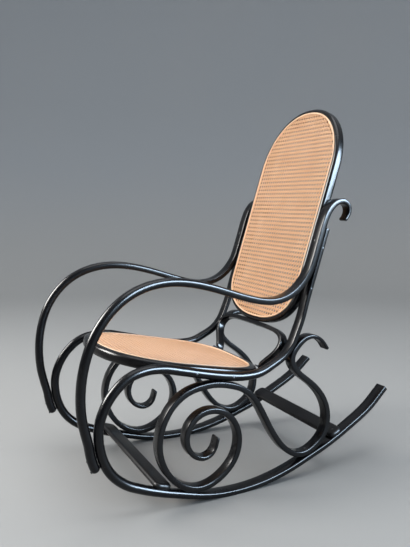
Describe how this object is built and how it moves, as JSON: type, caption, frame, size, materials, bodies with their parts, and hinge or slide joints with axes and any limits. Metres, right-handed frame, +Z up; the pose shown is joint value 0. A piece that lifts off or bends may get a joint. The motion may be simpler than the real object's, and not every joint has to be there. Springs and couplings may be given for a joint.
{
  "type": "rocking chair",
  "caption": "Bentwood rocking chair: black bent runner frames with scrolls and looped arms, a caned seat and a tall caned back, joined by stretcher boards and a lower-back hoop.",
  "frame": {"origin": "at floor level, under the middle of the overall box", "axes": "+Z up, -Y the way the sitter faces, +X the sitter's left"},
  "size_m": [0.5262, 0.9568, 1.0559],
  "materials": {
    "lacquered_wood": "black semi-gloss lacquer on bent beech",
    "cane": "natural woven cane, satin",
    "reed": "natural reed, satin",
    "screws": "darkened steel"
  },
  "bodies": {
    "root": {"seat_ring": "lacquered_wood", "seat_cane": "cane", "seat_spline": "reed", "back_frame": "lacquered_wood", "back_cane": "cane", "back_spline": "reed", "lower_back_hoop": "lacquered_wood", "left_rocker_frame": "lacquered_wood", "left_arm": "lacquered_wood", "left_scroll": "lacquered_wood", "right_rocker_frame": "lacquered_wood", "right_arm": "lacquered_wood", "right_scroll": "lacquered_wood", "front_stretcher": "lacquered_wood", "rear_stretcher": "lacquered_wood", "left_arm_foot_screw_1": "screws", "left_arm_foot_screw_2": "screws", "left_scroll_front_runner_screw": "screws", "left_scroll_rail_screw": "screws", "left_scroll_rear_runner_screw": "screws", "left_scroll_post_screw": "screws", "left_arm_post_screw": "screws", "left_seat_screw_1": "screws", "left_seat_screw_2": "screws", "left_back_screw_1": "screws", "left_back_screw_2": "screws", "right_arm_foot_screw_1": "screws", "right_arm_foot_screw_2": "screws", "right_scroll_front_runner_screw": "screws", "right_scroll_rail_screw": "screws", "right_scroll_rear_runner_screw": "screws", "right_scroll_post_screw": "screws", "right_arm_post_screw": "screws", "right_seat_screw_1": "screws", "right_seat_screw_2": "screws", "right_back_screw_1": "screws", "right_back_screw_2": "screws", "left_hoop_foot_screw": "screws", "right_hoop_foot_screw": "screws", "left_hoop_top_screw": "screws", "right_hoop_top_screw": "screws", "left_front_stretcher_screw": "screws", "right_front_stretcher_screw": "screws", "left_rear_stretcher_screw": "screws", "right_rear_stretcher_screw": "screws"}
  },
  "joints": []
}
